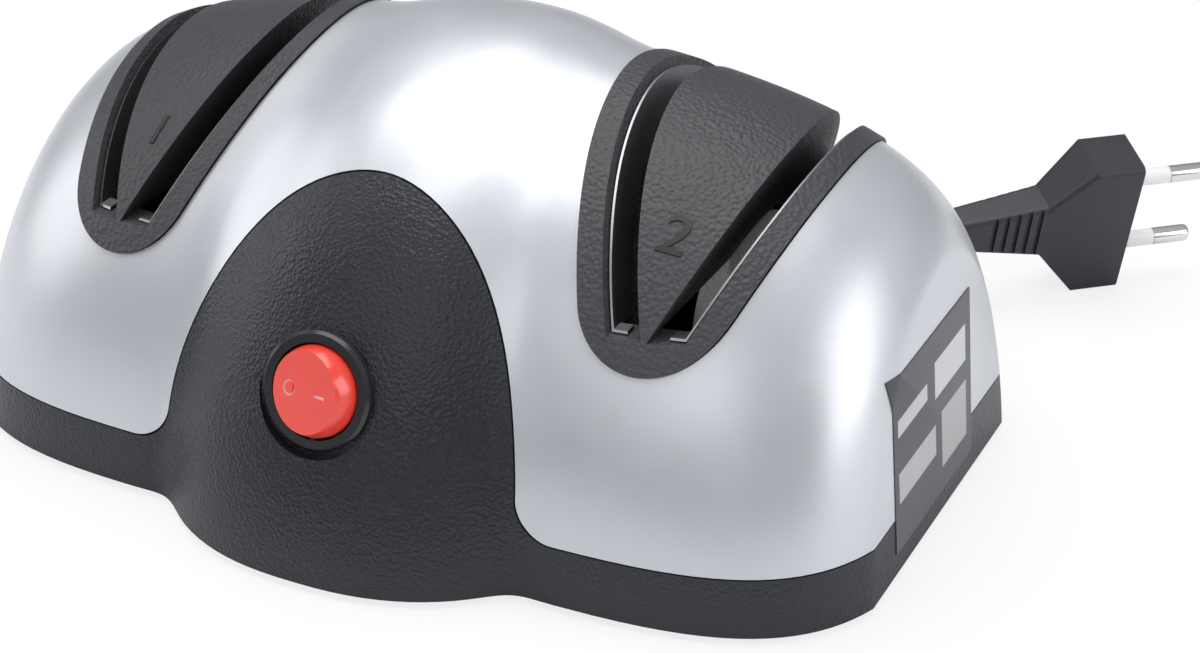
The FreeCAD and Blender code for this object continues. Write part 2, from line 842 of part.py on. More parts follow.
def finish_base(base):
    """Bosses, foot sockets, cradles, board posts and clamp posts."""
    up = Vector(0, 0, 1)
    floor = floor_lift + floor_thickness / 2.0
    parts = [base]
    for x, y in case_screw_places():
        parts.append(rod(boss_radius, boss_top - floor, Vector(x, y, floor), up))
    parts += make_cradles()
    for x, y in board_post_places():
        parts.append(rod(
            board_post_radius,
            floor_lift + floor_thickness + board_post_height - floor,
            Vector(x, y, floor),
            up,
        ))
    for x, y in clamp_post_places():
        height = gland_height - clamp_thickness / 2.0 - cord_radius / 2.0
        parts.append(rod(clamp_post_radius, height - floor, Vector(x, y, floor), up))
    whole = parts[0]
    for part in parts[1:]:
        whole = whole.fuse(part)
    for x, y in case_screw_places():
        head_room = screw_head_radius + screw_head_clearance
        whole = whole.cut(rod(head_room, screw_seat_height, Vector(x, y, 0), up))
        whole = whole.cut(rod(screw_hole_radius, profile_top, Vector(x, y, 0), up))
    for x, y in foot_places():
        whole = whole.cut(rod(foot_radius, floor_lift + foot_socket_depth, Vector(x, y, 0), up))
    for x, y in clamp_post_places():
        whole = whole.cut(rod(
            clamp_screw_radius + screw_pilot_clearance,
            profile_top,
            Vector(x, y, floor_lift + floor_thickness),
            up,
        ))
    gland_line = Vector(0, 1, 0)
    start = Vector(gland_x, axis_y, gland_height)
    whole = whole.cut(rod(gland_root_radius + gland_neck_clearance, reach, start, gland_line))
    flange_room = gland_flange_radius + gland_bore_clearance
    inner_wall = body_face_y(gland_x, gland_height, True, wall)
    whole = whole.cut(rod(flange_room, inner_wall - axis_y, start, gland_line))
    return whole


def finish_upper(shell):
    """Screw posts of the upper shell, down to the bosses of the base."""
    up = Vector(0, 0, 1)
    near_wall = body_form(wall / 2.0)
    whole = shell
    for x, y in case_screw_places():
        post = rod(boss_radius, profile_top, Vector(x, y, boss_top), up).common(near_wall)
        whole = whole.fuse(post)
    for x, y in case_screw_places():
        pilot = screw_radius + screw_pilot_clearance
        whole = whole.cut(rod(pilot, screw_grip + 1.0, Vector(x, y, boss_top), up))
    return whole


def board_post_places():
    dx = board_size_x / 2.0 - board_post_radius
    dy = board_size_y / 2.0 - board_post_radius
    return [(board_x + sx * dx, board_y + sy * dy) for sx, sy in ((-1, -1), (1, 1))]


def make_board():
    """Rectifier board, its four diodes and its capacitor."""
    z = floor_lift + floor_thickness + board_post_height
    board = block(
        board_x - board_size_x / 2.0, board_x + board_size_x / 2.0,
        board_y - board_size_y / 2.0, board_y + board_size_y / 2.0,
        z, z + board_thickness,
    )
    top = z + board_thickness
    parts = []
    for i in range(4):
        x = board_x + (i - 2.5) * diode_spacing
        parts.append(rod(
            diode_radius,
            diode_length,
            Vector(x, board_y - diode_length / 2.0, top + diode_radius),
            Vector(0, 1, 0),
        ))
    x = board_x + 2.0 * diode_spacing
    parts.append(rod(capacitor_radius, capacitor_height, Vector(x, board_y, top), Vector(0, 0, 1)))
    return board, Part.makeCompound(parts)


def clamp_y():
    """Y of the cord clamp, inside the rear wall."""
    return body_face_y(gland_x, gland_height, True, wall) - clamp_gap - clamp_depth / 2.0


def clamp_post_places():
    return [(gland_x + hand * clamp_post_offset, clamp_y()) for hand in (-1, 1)]


def make_clamp():
    """Bar that presses the cord on two posts, and its screws."""
    up = Vector(0, 0, 1)
    bottom = gland_height - clamp_thickness / 2.0 - cord_radius / 2.0
    bar = block(
        gland_x - clamp_width / 2.0, gland_x + clamp_width / 2.0,
        clamp_y() - clamp_depth / 2.0, clamp_y() + clamp_depth / 2.0,
        bottom, bottom + clamp_thickness + cord_radius,
    )
    bar = bar.cut(rod(cord_radius, reach, Vector(gland_x, -reach / 2.0, gland_height), Vector(0, 1, 0)))
    bar = bar.cut(block(gland_x - cord_radius, gland_x + cord_radius, -reach, reach, 0, gland_height))
    top = bottom + clamp_thickness + cord_radius
    screws = []
    for x, y in clamp_post_places():
        bar = bar.cut(rod(clamp_screw_radius + screw_pilot_clearance, profile_top, Vector(x, y, 0), up))
        shank = rod(clamp_screw_radius, clamp_screw_length, Vector(x, y, top - clamp_screw_length), up)
        screws.append(shank.fuse(rod(2.0 * clamp_screw_radius, clamp_screw_radius, Vector(x, y, top), up)))
    return bar, Part.makeCompound(screws)


def make_label(outer):
    """Plain rating label on the right end."""
    skin = body_form(-label_thickness).cut(outer)
    area = block(0, reach, label_front, label_rear, label_foot, label_foot + label_height)
    return keep_largest(skin.common(area))


def arc_between(start, corner, end):
    """Arc that is tangent to both legs of a corner with equal legs."""
    chord = (end - start) * 0.5
    middle = start + chord
    to_corner = corner - middle
    turn = math.atan2(to_corner.Length, chord.Length)
    rise = chord.Length * math.tan(turn / 2.0)
    return Part.Arc(start, middle + to_corner * (rise / to_corner.Length), end).toShape()


def rounded_path(points, label):
    """Straight runs joined by tangent arcs, each as large as its runs allow."""
    edges = []
    radii = []
    here = points[0]
    for before, corner, after in zip(points, points[1:], points[2:]):
        leg_in = (before - corner).normalize()
        leg_out = (after - corner).normalize()
        shorter = min(before.distanceToPoint(corner), after.distanceToPoint(corner))
        tangent = 0.45 * shorter
        start = corner + leg_in * tangent
        end = corner + leg_out * tangent
        turn = math.pi - leg_in.getAngle(leg_out)
        radii.append(tangent / math.tan(turn / 2.0))
        edges.append(Part.makeLine(here, start))
        edges.append(arc_between(start, corner, end))
        here = end
    edges.append(Part.makeLine(here, points[-1]))
    print(label, "radii", [round(radius, 1) for radius in radii])
    return Part.Wire(edges)


def tube_along(path, radius, label):
    """Round tube along a path, with its volume compared with its length."""
    first = path.Edges[0]
    start = first.valueAt(first.FirstParameter)
    direction = first.tangentAt(first.FirstParameter)
    section = Part.Wire(Part.makeCircle(radius, start, direction))
    tube = path.makePipeShell([section], True, False)
    expected = math.pi * radius ** 2 * path.Length
    print(label, "length", round(path.Length, 1), "volume share", round(abs(tube.Volume) / expected, 4))
    return tube


def rear_face_y():
    """Y of the housing's rear face at the gland."""
    return body_face_y(gland_x, gland_height, True)


def gland_tip_y():
    return rear_face_y() + gland_length


def make_gland():
    """Tapered strain relief, held in the rear wall by a flange inside."""
    line = Vector(0, 1, 0)
    face = rear_face_y()
    inside = body_face_y(gland_x, gland_height, True, wall + tongue_clearance + tongue_thickness)
    flange_start = inside - gland_flange_thickness - gland_flange_gap
    flange = rod(
        gland_flange_radius,
        gland_flange_thickness,
        Vector(gland_x, flange_start, gland_height),
        line,
    )
    neck = rod(gland_root_radius, face - flange_start, Vector(gland_x, flange_start, gland_height), line)
    taper = Part.makeCone(
        gland_root_radius,
        gland_tip_radius,
        gland_length,
        Vector(gland_x, face, gland_height),
        line,
    )
    whole = flange.fuse(neck).fuse(taper).removeSplitter()
    return whole.cut(rod(cord_radius, reach, Vector(gland_x, flange_start, gland_height), line))


def coil_centre():
    """Middle of the coil: its outermost turn starts in line with the cord."""
    height = cord_radius + coil_floor_gap
    x = gland_x + coil_start_shift + coil_outer_radius()
    y = gland_tip_y() + coil_standoff
    return Vector(x, y, height)


def coil_outer_radius():
    return coil_mid_radius + coil_pitch * coil_turns_per_layer / 2.0


def coil_point(turn):
    """Centre line of the coil, by turns from its outer end on the floor."""
    middle = coil_turns_per_layer + 0.25
    radius = coil_outer_radius() - coil_pitch * (middle - abs(turn - middle))
    climb = min(max(turn - coil_turns_per_layer, 0.0), 0.5) / 0.5
    angle = math.pi - 2.0 * math.pi * turn
    centre = coil_centre()
    height = coil_layer_step * (1.0 - math.cos(math.pi * climb)) / 2.0
    return centre + Vector(radius * math.cos(angle), radius * math.sin(angle), height)


def coil_heading(turn):
    """Direction of the coil's centre line, level at the ends of the climb."""
    step = 0.0005
    last = 2 * coil_turns_per_layer + 0.5
    heading = coil_point(min(turn + step, last)) - coil_point(max(turn - step, 0.0))
    return heading.normalize()


def biarc(start, start_heading, end, end_heading):
    """Two tangent arcs from one point and heading to another."""
    span = end - start
    both = start_heading + end_heading
    square = 2.0 * (start_heading.dot(end_heading) - 1.0)
    linear = -2.0 * span.dot(both)
    root = math.sqrt(linear ** 2 - 4.0 * square * span.dot(span))
    leg = (-linear - root) / (2.0 * square)
    corner = start + start_heading * leg
    other_corner = end - end_heading * leg
    joint = (corner + other_corner) * 0.5
    return [arc_between(start, corner, joint), arc_between(joint, other_corner, end)]


def coil_ends():
    """Ends of the coil's tube: one tube diameter straight beyond the turns."""
    last = 2 * coil_turns_per_layer + 0.5
    straight = 2.0 * cord_radius
    start = coil_point(0.0) - coil_heading(0.0) * straight
    end = coil_point(last) + coil_heading(last) * straight
    return start, end


def make_coil():
    """The spare cord, one unbroken tube in two layers of turns."""
    last = 2 * coil_turns_per_layer + 0.5
    start, end = coil_ends()
    edges = [Part.makeLine(start, coil_point(0.0))]
    quarters = int(4 * last)
    for i in range(quarters):
        here = i / 4.0
        there = (i + 1) / 4.0
        edges += biarc(coil_point(here), coil_heading(here), coil_point(there), coil_heading(there))
    edges.append(Part.makeLine(coil_point(last), end))
    print("coil least gap to itself", round(coil_least_gap(), 2))
    return tube_along(Part.Wire(edges), cord_radius, "coil")


def coil_least_gap():
    """Least clear distance between turns, measured on points of the line."""
    per_turn = 90
    last = 2 * coil_turns_per_layer + 0.5
    points = [coil_point(i / per_turn) for i in range(int(last * per_turn) + 1)]
    least = reach
    for i, point in enumerate(points):
        for other in points[i + per_turn // 2:]:
            least = min(least, point.distanceToPoint(other))
    return least - 2.0 * cord_radius


def plug_place(shape):
    """Moves a piece from the plug's own frame, with its pins along +X."""
    shape.rotate(Vector(0, 0, 0), Vector(1, 0, 0), plug_lean)
    shape.rotate(Vector(0, 0, 0), Vector(0, 0, 1), plug_heading)
    shape.translate(Vector(plug_x, plug_y, plug_centre_height()))
    return shape


def plug_centre_height():
    """Height of the plug's axis when its leaning block stands on the table."""
    lean = math.radians(plug_lean)
    upright = (plug_width / 2.0 - plug_corner) * math.cos(lean)
    aside = (plug_thickness / 2.0 - plug_corner) * math.sin(lean)
    return upright + aside + plug_corner


def plug_tail():
    """Middle of the plug's tail, where the cord goes in."""
    length = plug_face_length + plug_shoulder_length + plug_boot_length
    heading = math.radians(plug_heading)
    return Vector(
        plug_x - length * math.cos(heading),
        plug_y - length * math.sin(heading),
        plug_centre_height(),
    )


def rounded_section(x, thickness, width, corner):
    """Rounded rectangle across the plug, width upright."""
    half_t = thickness / 2.0
    half_w = width / 2.0
    solid = Part.makeBox(1.0, thickness, width, Vector(x, -half_t, -half_w))
    along = [edge for edge in solid.Edges if abs(edge.tangentAt(edge.FirstParameter).x) > 0.9]
    solid = solid.makeFillet(corner, along)
    return min(solid.Faces, key=lambda face: face.CenterOfMass.x).OuterWire


def make_plug():
    """Plug body with its ribbed boot, the two pins and their sleeves."""
    x1 = -plug_face_length
    x2 = x1 - plug_shoulder_length
    x3 = x2 - plug_boot_length
    block_part = Part.Face(rounded_section(x1, plug_thickness, plug_width, plug_corner))
    block_part = block_part.extrude(Vector(plug_face_length, 0, 0))
    shoulder = Part.makeLoft([
        rounded_section(x1, plug_thickness, plug_width, plug_corner),
        rounded_section(x2, plug_neck_thickness, plug_neck_width, plug_corner),
    ], True, True)
    tail = 2.0 * plug_tail_radius
    boot = Part.makeLoft([
        rounded_section(x2, plug_neck_thickness, plug_neck_width, plug_corner),
        rounded_section(x3, tail, tail, plug_corner),
    ], True, True)
    body = block_part.fuse(shoulder).fuse(boot).removeSplitter()
    for i in range(plug_groove_count):
        x = x2 - plug_groove_pitch * (i + 0.5)
        share = (x2 - x) / plug_boot_length
        half_t = (plug_neck_thickness + (tail - plug_neck_thickness) * share) / 2.0 - plug_groove_depth
        for hand in (-1, 1):
            y0 = half_t if hand > 0 else -half_t - plug_neck_thickness
            body = body.cut(block(
                x - plug_groove_width,
                x,
                y0,
                y0 + plug_neck_thickness,
                -plug_width,
                plug_width,
            ))
    pins = []
    sleeves = []
    out = Vector(1, 0, 0)
    for hand in (-1, 1):
        z = hand * pin_spacing / 2.0
        body = body.cut(rod(pin_core_radius, pin_root, Vector(-pin_root, 0, z), out))
        core = rod(pin_core_radius, pin_root + sleeve_length, Vector(-pin_root, 0, z), out)
        bare = rod(pin_radius, pin_length - sleeve_length, Vector(sleeve_length, 0, z), out)
        tip = [edge for edge in bare.Edges if edge.CenterOfMass.x > pin_length - 0.1]
        bare = bare.makeFillet(pin_radius * 0.6, tip)
        pins.append(core.fuse(bare))
        sleeve = rod(sleeve_radius, sleeve_length, Vector(0, 0, z), out)
        sleeves.append(sleeve.cut(rod(pin_core_radius, sleeve_length, Vector(0, 0, z), out)))
    body = body.cut(rod(cord_radius, plug_bore_depth, Vector(x3, 0, 0), out))
    pieces = [body, Part.makeCompound(pins), Part.makeCompound(sleeves)]
    return [plug_place(piece) for piece in pieces]


def cord_points():
    """Route from the strain relief to the coil, and from the coil to the plug."""
    start, end = coil_ends()
    tip = Vector(gland_x, gland_tip_y(), gland_height)
    first = [
        tip,
        tip + Vector(0.0, cord_end_run, 0.0),
        start - coil_heading(0.0) * cord_end_run,
        start,
    ]
    tail = plug_tail()
    heading = math.radians(plug_heading)
    second = [
        end,
        end + coil_heading(2 * coil_turns_per_layer + 0.5) * cord_leave_run,
        Vector(15.0, 104.0, 9.0),
        Vector(18.0, 95.0, 10.0),
        Vector(27.5, 81.0, 12.5),
        Vector(43.0, 75.0, 15.5),
        tail - Vector(math.cos(heading), math.sin(heading), 0.0) * cord_plug_run,
        tail,
    ]
    return first, second


def make_cords():
    """The free stretches of the cord, and its clamped end inside."""
    first, second = cord_points()
    inside = Vector(gland_x, clamp_y() - clamp_depth, gland_height)
    gland_run = tube_along(Part.Wire([Part.makeLine(inside, first[0])]), cord_radius, "inner cord")
    free = [
        tube_along(rounded_path(first, "first stretch"), cord_radius, "first stretch"),
        tube_along(rounded_path(second, "second stretch"), cord_radius, "second stretch"),
    ]
    return gland_run, Part.makeCompound(free)


def lead(points, label):
    """One insulated lead inside the housing."""
    return tube_along(rounded_path(points, label), lead_radius, label)


def make_leads():
    """The two leads from the switch to the clamped end of the cord."""
    _, _, terminals = make_switch()
    tilt = math.radians(switch_tilt)
    inward = Vector(0, math.cos(tilt), -math.sin(tilt))
    cord_end = Vector(gland_x, clamp_y() - clamp_depth, gland_height)
    leads = []
    for hand, terminal in zip((-1, 1), terminals.Solids):
        start = terminal.CenterOfMass + inward * (terminal_length / 2.0 + lead_radius + lead_end_gap)
        aside = Vector(hand * lead_spacing / 2.0, 0, hand * lead_spacing / 2.0)
        end = cord_end + Vector(hand * lead_radius * 1.2, -lead_end_gap, 0)
        route = [
            start,
            start + Vector(-4.0, 6.0, -2.0),
            Vector(-24.0, -30.0, 19.0) + aside,
            Vector(-41.0, -19.0, 13.0) + aside,
            Vector(-45.5, 0.0, 11.0) + aside,
            Vector(-50.0, 18.0, 9.5) + aside,
            end + Vector(0, -8.0, 0),
            end,
        ]
        leads.append(lead(route, "lead"))
    return Part.makeCompound(leads)


def main():
    os.makedirs("parts", exist_ok=True)
    outer = body_form()
    inner = body_form(wall)
    base, shell = make_housing(outer, inner)
    base = fit_switch_seat(base)
    base = finish_base(base)
    shell = finish_upper(shell)
    for side in (-1, 1):
        shell = shell.cut(insert_region(side, 0.0))
    nodes = {"base": keep_largest(base), "upper_shell": keep_largest(shell)}
    insert_1, insert_2 = make_inserts()
    nodes["insert_1"] = insert_1
    nodes["insert_2"] = insert_2
    nodes.update(make_blade_guides())
    nodes["switch_body"], nodes["switch_rocker"], nodes["switch_terminals"] = make_switch()
    nodes.update(make_rotor())
    nodes.update(make_motor())
    nodes["motor_straps"], nodes["strap_screws"] = make_straps()
    nodes["case_screws"] = make_case_screws()
    nodes["rubber_feet"] = make_feet()
    nodes["rectifier_board"], nodes["board_components"] = make_board()
    nodes["cord_clamp"], nodes["clamp_screws"] = make_clamp()
    nodes["rating_label"] = make_label(outer)
    nodes["cord_gland"] = make_gland()
    nodes["inner_cord"], nodes["cord"] = make_cords()
    nodes["cord_coil"] = make_coil()
    nodes["plug_body"], nodes["plug_pins"], nodes["pin_sleeves"] = make_plug()
    nodes["inner_leads"] = make_leads()
    for name, shape in nodes.items():
        print(name, len(shape.Solids), round(shape.Volume, 1), shape.isValid())
        shape.exportStep("parts/%s.step" % name)


main()
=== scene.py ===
# %% [markdown]
# Electric knife sharpener with two grinding stations
#
# This lesson dresses a sharpener that is already built to size. The frame
# brings the solids in, and each step below gives one group of them its look.
# Lengths are in metres, as everywhere in Blender.

# %% [markdown]
# Step 1. Load the frame. The solids come in as plain objects, one for each
# piece of the real sharpener. Every piece also belongs to a body: the housing,
# the rocker of the switch, or the rotor with its two wheels.

# %% Load the frame
import bmesh
import bpy
import json
import math
from mathutils import Matrix, Vector
from mathutils.bvhtree import BVHTree


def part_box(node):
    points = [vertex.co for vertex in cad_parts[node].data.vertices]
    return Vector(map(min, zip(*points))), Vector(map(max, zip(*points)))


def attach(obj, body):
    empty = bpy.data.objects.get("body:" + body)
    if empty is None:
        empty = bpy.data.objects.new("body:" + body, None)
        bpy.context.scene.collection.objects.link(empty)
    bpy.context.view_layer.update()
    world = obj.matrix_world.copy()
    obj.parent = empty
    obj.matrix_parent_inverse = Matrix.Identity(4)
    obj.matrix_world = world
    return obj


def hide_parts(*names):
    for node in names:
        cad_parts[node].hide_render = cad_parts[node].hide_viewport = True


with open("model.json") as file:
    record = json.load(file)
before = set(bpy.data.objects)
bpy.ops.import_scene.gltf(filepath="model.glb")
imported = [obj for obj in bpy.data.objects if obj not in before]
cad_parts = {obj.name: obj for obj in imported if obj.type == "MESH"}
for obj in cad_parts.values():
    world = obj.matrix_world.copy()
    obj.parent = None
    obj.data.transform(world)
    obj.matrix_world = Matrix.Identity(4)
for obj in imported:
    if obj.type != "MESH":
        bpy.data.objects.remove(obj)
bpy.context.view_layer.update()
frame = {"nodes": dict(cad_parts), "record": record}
scene = bpy.context.scene
bodies = frame["record"]["behaviour"]["bodies"]
body_of_node = {node: body for body, nodes in bodies.items() for node in nodes}

# %% [markdown]
# Step 2. Place the camera. It stands to the right of the switch and looks
# down at the front, with a long lens, as a product photographer would. An
# aim at a target would be simpler, but the picture is framed off centre, so
# the camera gets its place, its two angles and a small shift of the lens.

# %% The camera's place and angles
camera_place = Vector((0.227372, -0.405986, 0.272664))
camera_azimuth = math.radians(26.505)
camera_elevation = math.radians(27.794)
camera_roll = math.radians(-0.21)
frame_width = 1200
focal_pixels = 2543.35
sensor_mm = 36.0
shift_right = 0.01122
shift_up = -0.02726
nearest = 0.01
farthest = 20.0

# %% Build the camera
back = Vector((
    math.sin(camera_azimuth) * math.cos(camera_elevation),
    -math.cos(camera_azimuth) * math.cos(camera_elevation),
    math.sin(camera_elevation),
))
right = Vector((math.cos(camera_azimuth), math.sin(camera_azimuth), 0.0))
up = back.cross(right)
turn = Matrix((right, up, back)).transposed().to_4x4()
camera_data = bpy.data.cameras.new("camera")
camera_data.sensor_width = sensor_mm
camera_data.lens = focal_pixels / frame_width * sensor_mm
camera_data.shift_x = shift_right
camera_data.shift_y = shift_up
camera_data.clip_start = nearest
camera_data.clip_end = farthest
camera = bpy.data.objects.new("camera", camera_data)
camera.matrix_world = Matrix.Translation(camera_place) @ turn @ Matrix.Rotation(camera_roll, 4, "Z")
scene.collection.objects.link(camera)
scene.camera = camera
print("lens", round(camera_data.lens, 1), "mm")

# %% [markdown]
# Step 3. Materials. The shell is silver paint on plastic, the base is black
# plastic with a fine leather grain, and the inserts have a coarser grain.
# A photograph of each could be wrapped round the pieces, but a procedural
# material has no seams and stays sharp in a close view. Every finish is the
# same recipe: clouds of noise vary the colour and the gloss a little, and a
# second noise, or cells for leather, gives the grain.

# %% Helpers for material nodes
coat_rough = 0.12
cloud_detail = 3.0
cloud_low = 0.3
cloud_high = 0.7
gloss_spread = 0.1
grain_detail = 2.0
leather_depth = 0.0003
grain_depth = 0.0001


def add_node(tree, kind, **values):
    """Adds a node and sets its inputs by name."""
    node = tree.nodes.new(kind)
    for name, value in values.items():
        node.inputs[name.replace("_", " ")].default_value = value
    return node


def shade(colour, amount):
    """Colour made darker or lighter by a share."""
    return tuple(min(1.0, max(0.0, part * (1.0 + amount))) for part in colour[:3]) + (1.0,)


def add_grain(tree, stretch, surface, grain, scale, leather):
    """Fine relief on a surface: cells for leather, noise for the rest."""
    link = tree.links.new
    if leather:
        bumps = add_node(tree, "ShaderNodeTexVoronoi", Scale=scale, Randomness=1.0)
        bumps.feature = "SMOOTH_F1"
        height = bumps.outputs["Distance"]
    else:
        bumps = add_node(tree, "ShaderNodeTexNoise", Scale=scale, Detail=grain_detail)
        height = bumps.outputs["Fac"]
    link(stretch.outputs["Vector"], bumps.inputs["Vector"])
    depth = leather_depth if leather else grain_depth
    relief = add_node(tree, "ShaderNodeBump", Strength=grain, Distance=depth)
    link(height, relief.inputs["Height"])
    link(relief.outputs["Normal"], surface.inputs["Normal"])


# %% The recipe of a finish
def finish_material(name, colour, rough, metal=0.0, spread=0.08, mottle=60.0,
                    grain=0.0, grain_scale=2500.0, leather=False, coat=0.0, brushed=None):
    """Principled surface with mottled colour, uneven gloss and a fine grain."""
    material = bpy.data.materials.new(name)
    material.use_nodes = True
    tree = material.node_tree
    link = tree.links.new
    surface = tree.nodes["Principled BSDF"]
    surface.inputs["Metallic"].default_value = metal
    surface.inputs["Coat Weight"].default_value = coat
    surface.inputs["Coat Roughness"].default_value = coat_rough
    place = tree.nodes.new("ShaderNodeTexCoord")
    stretch = add_node(tree, "ShaderNodeMapping", Scale=brushed or (1.0, 1.0, 1.0))
    link(place.outputs["Object"], stretch.inputs["Vector"])
    clouds = add_node(tree, "ShaderNodeTexNoise", Scale=mottle, Detail=cloud_detail)
    link(stretch.outputs["Vector"], clouds.inputs["Vector"])
    ramp = tree.nodes.new("ShaderNodeValToRGB")
    ramp.color_ramp.elements[0].position = cloud_low
    ramp.color_ramp.elements[1].position = cloud_high
    ramp.color_ramp.elements[0].color = shade(colour, -spread)
    ramp.color_ramp.elements[1].color = shade(colour, spread)
    link(clouds.outputs["Fac"], ramp.inputs["Fac"])
    link(ramp.outputs["Color"], surface.inputs["Base Color"])
    gloss = add_node(
        tree, "ShaderNodeMapRange",
        From_Min=cloud_low, From_Max=cloud_high,
        To_Min=rough * (1.0 - gloss_spread), To_Max=rough * (1.0 + gloss_spread),
    )
    link(clouds.outputs["Fac"], gloss.inputs["Value"])
    link(gloss.outputs["Result"], surface.inputs["Roughness"])
    if grain > 0.0:
        add_grain(tree, stretch, surface, grain, grain_scale, leather)
    return material


# %% [markdown]
# The finishes follow, each with its colour, its roughness and what is special
# about it. Metals that were drawn, ground or wound get a pattern stretched
# along one axis, because that is how their fine scratches or wires run.

# %% The finishes of the outside
outer_finishes = {
    "black_plastic": dict(
        colour=(0.011, 0.0125, 0.017), rough=0.38, grain=0.6, grain_scale=1600.0, leather=True),
    "silver_paint": dict(
        colour=(0.60, 0.61, 0.635), rough=0.36, metal=0.55, spread=0.02, grain=0.04,
        grain_scale=5000.0),
    "charcoal_plastic": dict(
        colour=(0.042, 0.042, 0.046), rough=0.50, grain=0.9, grain_scale=1200.0, leather=True),
    "spring_steel": dict(
        colour=(0.34, 0.34, 0.35), rough=0.35, metal=1.0, brushed=(1.0, 0.08, 1.0), grain=0.1),
    "black_gloss": dict(colour=(0.020, 0.020, 0.023), rough=0.22, spread=0.15, grain=0.05),
    "red_gloss": dict(colour=(0.86, 0.055, 0.035), rough=0.25, spread=0.04, grain=0.03, coat=0.5),
    "rubber_black": dict(colour=(0.025, 0.025, 0.026), rough=0.7, grain=0.4),
    "cord_black": dict(colour=(0.022, 0.024, 0.030), rough=0.45, grain=0.3, grain_scale=1500.0),
    "nickel": dict(colour=(0.74, 0.74, 0.73), rough=0.16, metal=1.0, grain=0.05),
    "sleeve_white": dict(colour=(0.86, 0.86, 0.84), rough=0.35, grain=0.1),
    "digit_black": dict(colour=(0.008, 0.008, 0.009), rough=0.45, spread=0.15, grain=0.1),
    "mark_pink": dict(colour=(0.98, 0.62, 0.60), rough=0.4, spread=0.03, grain=0.05),
}
print(len(outer_finishes), "finishes outside")

# %% The finishes of the inside
inner_finishes = {
    "brass": dict(colour=(0.75, 0.55, 0.24), rough=0.28, metal=1.0, grain=0.1),
    "ground_steel": dict(
        colour=(0.56, 0.56, 0.58), rough=0.25, metal=1.0, brushed=(1.0, 6.0, 6.0), grain=0.15),
    "steel_laminations": dict(
        colour=(0.32, 0.33, 0.35), rough=0.4, metal=1.0, brushed=(30.0, 1.0, 1.0), grain=0.5,
        grain_scale=80.0),
    "copper_wire": dict(
        colour=(0.72, 0.30, 0.12), rough=0.3, metal=1.0, brushed=(12.0, 1.0, 1.0), grain=0.6,
        grain_scale=300.0),
    "coarse_abrasive": dict(
        colour=(0.30, 0.29, 0.30), rough=0.9, spread=0.4, mottle=900.0, grain=1.0,
        grain_scale=1500.0),
    "fine_abrasive": dict(
        colour=(0.72, 0.70, 0.67), rough=0.85, spread=0.12, mottle=1500.0, grain=0.8,
        grain_scale=3500.0),
    "zinc_steel": dict(colour=(0.62, 0.63, 0.66), rough=0.33, metal=1.0, grain=0.1),
    "bronze": dict(colour=(0.55, 0.36, 0.17), rough=0.45, metal=1.0, grain=0.3),
    "ferrite": dict(colour=(0.09, 0.09, 0.10), rough=0.7, grain=0.5),
    "carbon": dict(colour=(0.035, 0.035, 0.035), rough=0.75, grain=0.5),
    "board_green": dict(colour=(0.03, 0.20, 0.08), rough=0.3, grain=0.1),
    "lead_blue": dict(colour=(0.06, 0.16, 0.45), rough=0.4, grain=0.2),
}
materials = {
    name: finish_material(name, **finish)
    for finishes in (outer_finishes, inner_finishes)
    for name, finish in finishes.items()
}
print(len(materials), "materials")


# %% [markdown]
# Step 4. The sticker. On the right end sits a sticker of dark foil. Its pale
# panels could be thin plates of their own, but a mask in the material is
# enough, because they have no thickness. The panels are left blank.


# %% Masks for the panels
def panel_mask(tree, place, low, high):
    """One inside a rectangle of Y and Z, zero outside it."""
    link = tree.links.new
    split = tree.nodes.new("ShaderNodeSeparateXYZ")
    link(place.outputs["Object"], split.inputs["Vector"])
    steps = []
    for axis, first, last in (("Y", low[0], high[0]), ("Z", low[1], high[1])):
        for operation, limit in (("GREATER_THAN", first), ("LESS_THAN", last)):
            test = tree.nodes.new("ShaderNodeMath")
            test.operation = operation
            test.inputs[1].default_value = limit
            link(split.outputs[axis], test.inputs[0])
            steps.append(test)
    product = steps[0]
    for test in steps[1:]:
        both = tree.nodes.new("ShaderNodeMath")
        both.operation = "MULTIPLY"
        link(product.outputs[0], both.inputs[0])
        link(test.outputs[0], both.inputs[1])
        product = both
    return product


# %% The foil of the sticker
def sticker_material(low, high, panels):
    """Dark foil with pale blank panels, placed in shares of the sticker."""
    material = finish_material("label_grey", (0.055, 0.055, 0.06), 0.38, grain=0.08)
    tree = material.node_tree
    link = tree.links.new
    surface = tree.nodes["Principled BSDF"]
    place = [node for node in tree.nodes if node.bl_idname == "ShaderNodeTexCoord"][0]
    colour = surface.inputs["Base Color"].links[0].from_socket
    size_y = high[1] - low[1]
    size_z = high[2] - low[2]
    for (y0, z0), (y1, z1), tone in panels:
        mask = panel_mask(
            tree, place,
            (low[1] + y0 * size_y, low[2] + z0 * size_z),
            (low[1] + y1 * size_y, low[2] + z1 * size_z),
        )
        mix = tree.nodes.new("ShaderNodeMix")
        mix.data_type = "RGBA"
        mix.inputs[7].default_value = (tone, tone, tone, 1.0)
        link(mask.outputs[0], mix.inputs[0])
        link(colour, mix.inputs[6])
        colour = mix.outputs[2]
    link(colour, surface.inputs["Base Color"])
    return material


label_low, label_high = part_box("rating_label")
materials["label_grey"] = sticker_material(label_low, label_high, [
    ((0.05, 0.66), (0.42, 0.76), 0.50),
    ((0.52, 0.60), (0.93, 0.82), 0.55),
    ((0.05, 0.27), (0.52, 0.45), 0.42),
    ((0.60, 0.14), (0.93, 0.48), 0.38),
])
print("sticker with blank panels")


